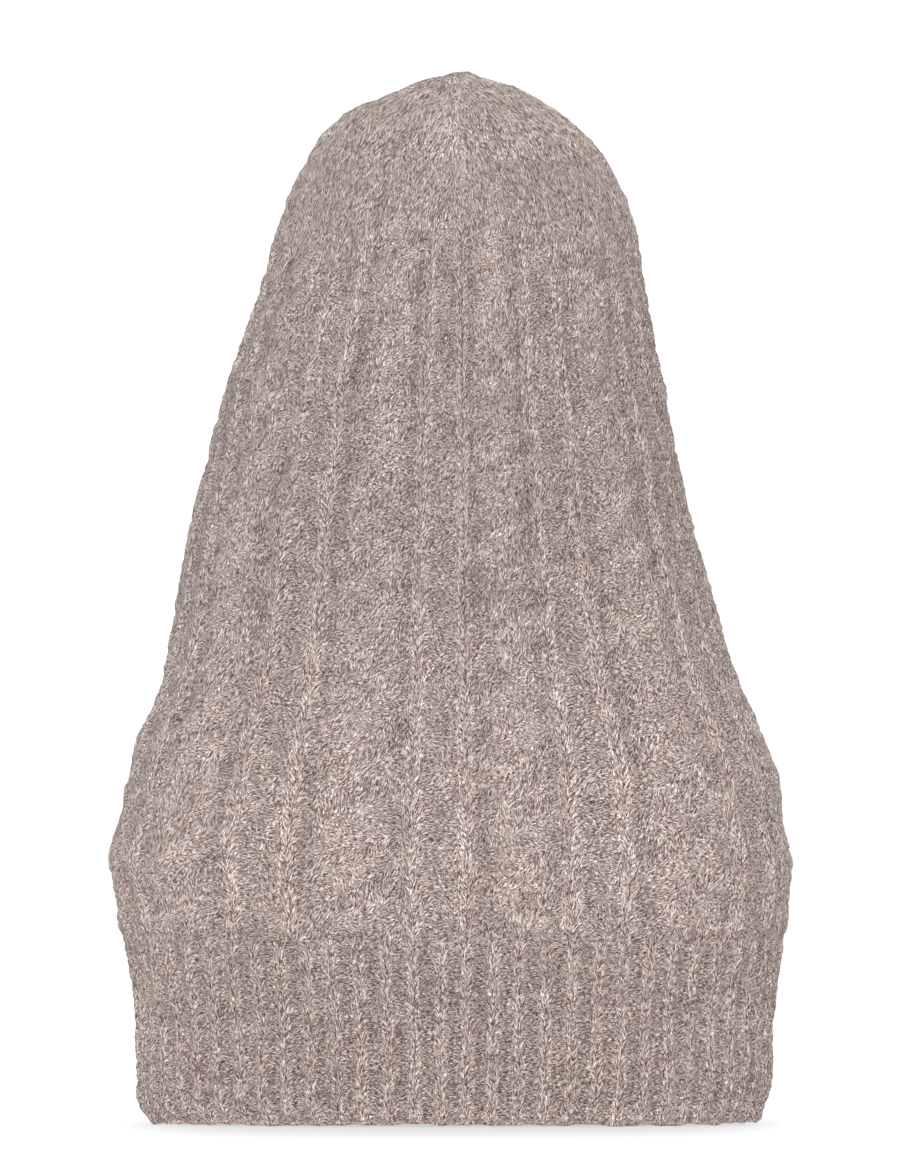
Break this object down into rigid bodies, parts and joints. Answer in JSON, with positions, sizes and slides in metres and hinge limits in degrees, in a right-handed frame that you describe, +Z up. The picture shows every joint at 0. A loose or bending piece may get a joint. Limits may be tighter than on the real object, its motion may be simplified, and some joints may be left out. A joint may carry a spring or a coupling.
{
  "type": "cable knit balaclava",
  "caption": "Thick felted wool balaclava in its worn form: cable and rib knit hood, ribbed oval face opening, and a ribbed hem that flares over the shoulders.",
  "frame": {"origin": "underside of the crown, where the top of a head meets the knit", "axes": "+Z up through the crown, +Y out of the face opening, +X to the right when seen from behind"},
  "size_m": [0.2731, 0.1882, 0.4219],
  "materials": {
    "cable_knit": "felted wool, heathered taupe and grey, matte with a short nap",
    "rib_knit": "felted wool rib, heathered taupe and grey, matte with a short nap"
  },
  "bodies": {
    "root": {"crown": "cable_knit", "hood": "cable_knit", "face_rib": "rib_knit", "hem_rib": "rib_knit"}
  },
  "joints": []
}
